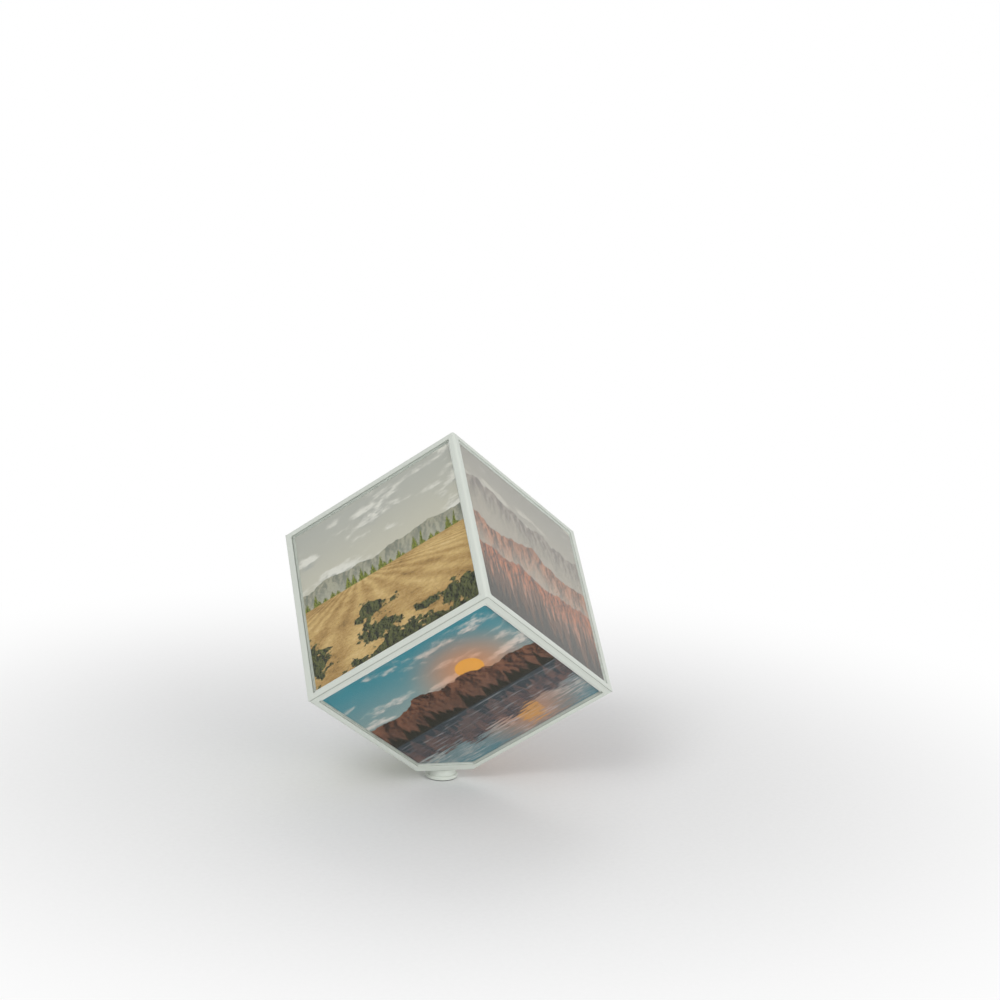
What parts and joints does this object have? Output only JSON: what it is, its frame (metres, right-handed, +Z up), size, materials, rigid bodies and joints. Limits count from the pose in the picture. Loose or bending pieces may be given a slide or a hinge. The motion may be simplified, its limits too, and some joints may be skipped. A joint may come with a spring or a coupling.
{
  "type": "rotating photo cube",
  "caption": "Photo cube that stands on a cut corner over a small round foot and turns slowly about the vertical, with a picture under a clear cover on every face.",
  "frame": {"origin": "centre of the underside of the foot, on the turning axis", "axes": "+Z up along the cube's long diagonal and the turning axis; -Y towards the front corner between the two upper faces that the picture shows"},
  "size_m": [0.1552, 0.1792, 0.1826],
  "materials": {
    "shell": "satin moulded ivory white",
    "clear": "clear polished",
    "print": "glossy printed picture",
    "rubber": "matt",
    "steel": "ground and zinc plated",
    "nickel": "nickel plated strip",
    "brass": "plain",
    "gear": "natural acetal",
    "bearing": "natural acetal",
    "case": "grey moulded",
    "dark": "black moulded",
    "knob": "red moulded",
    "cell": "bare metal jacket",
    "red_lead": "insulated wire",
    "black_lead": "insulated wire"
  },
  "bodies": {
    "foot": {"foot": "shell", "foot_pad": "rubber", "spindle": "steel", "thrust_washer": "bearing", "output_gear": "gear"},
    "cube": {"lower_shell": "shell", "upper_shell": "shell", "picture_upper_right": "print", "picture_upper_back": "print", "picture_upper_left": "print", "picture_lower_left": "print", "picture_lower_front": "print", "picture_lower_right": "print", "gear_pin": "steel", "motor_can": "steel", "gearbox_screws": "steel", "lid_screws": "steel", "shell_screws": "steel", "positive_contact": "nickel", "negative_contact": "nickel", "motor_terminals": "brass", "switch_terminals": "brass", "spindle_bush": "bearing", "gearbox_case": "case", "gearbox_lid": "case", "motor_end_cap": "dark", "battery_holder": "dark", "switch_body": "dark", "battery_cell": "cell", "lead_cell_to_switch": "red_lead", "lead_switch_to_motor": "red_lead", "lead_motor_to_cell": "black_lead"},
    "third_gear": {"third_gear": "gear"},
    "second_gear": {"second_gear": "gear"},
    "first_gear": {"first_gear": "gear"},
    "motor_rotor": {"motor_pinion": "brass", "motor_shaft": "steel"},
    "switch_slider": {"switch_knob": "knob"},
    "cover_upper_right": {"cover_upper_right": "clear"},
    "cover_upper_back": {"cover_upper_back": "clear"},
    "cover_upper_left": {"cover_upper_left": "clear"},
    "cover_lower_left": {"cover_lower_left": "clear"},
    "cover_lower_front": {"cover_lower_front": "clear"},
    "cover_lower_right": {"cover_lower_right": "clear"}
  },
  "joints": [
    {"name": "cube_spin", "type": "hinge", "parent": "foot", "child": "cube", "pos_m": [0, 0, 0.0065], "axis": [0, 0, 1], "continuous": true},
    {"name": "third_gear_spin", "type": "hinge", "parent": "cube", "child": "third_gear", "pos_m": [0, 0.0125, 0.035], "axis": [0, 0, 1], "continuous": true},
    {"name": "second_gear_spin", "type": "hinge", "parent": "cube", "child": "second_gear", "pos_m": [0, 0, 0.035], "axis": [0, 0, 1], "continuous": true},
    {"name": "first_gear_spin", "type": "hinge", "parent": "cube", "child": "first_gear", "pos_m": [0, 0.0125, 0.035], "axis": [0, 0, 1], "continuous": true},
    {"name": "motor_rotor_spin", "type": "hinge", "parent": "cube", "child": "motor_rotor", "pos_m": [0, 0.025, 0.035], "axis": [0, 0, 1], "continuous": true},
    {"name": "switch_slide", "type": "slide", "parent": "cube", "child": "switch_slider", "axis": [0.7071, -0.4082, 0.5774], "range_m": [0, 0.002]},
    {"name": "cover_upper_right_pull", "type": "slide", "parent": "cube", "child": "cover_upper_right", "axis": [0.7071, -0.4082, 0.5774], "range_m": [0, 0.012]},
    {"name": "cover_upper_back_pull", "type": "slide", "parent": "cube", "child": "cover_upper_back", "axis": [0, 0.8165, 0.5774], "range_m": [0, 0.012]},
    {"name": "cover_upper_left_pull", "type": "slide", "parent": "cube", "child": "cover_upper_left", "axis": [-0.7071, -0.4082, 0.5774], "range_m": [0, 0.012]},
    {"name": "cover_lower_left_pull", "type": "slide", "parent": "cube", "child": "cover_lower_left", "axis": [-0.7071, 0.4082, -0.5774], "range_m": [0, 0.012]},
    {"name": "cover_lower_front_pull", "type": "slide", "parent": "cube", "child": "cover_lower_front", "axis": [0, -0.8165, -0.5774], "range_m": [0, 0.012]},
    {"name": "cover_lower_right_pull", "type": "slide", "parent": "cube", "child": "cover_lower_right", "axis": [0.7071, 0.4082, -0.5774], "range_m": [0, 0.012]}
  ],
  "couplings": [
    {"joint": "third_gear_spin", "follows": "cube_spin", "ratio": 4},
    {"joint": "second_gear_spin", "follows": "cube_spin", "ratio": -16},
    {"joint": "first_gear_spin", "follows": "cube_spin", "ratio": 64},
    {"joint": "motor_rotor_spin", "follows": "cube_spin", "ratio": -256}
  ]
}
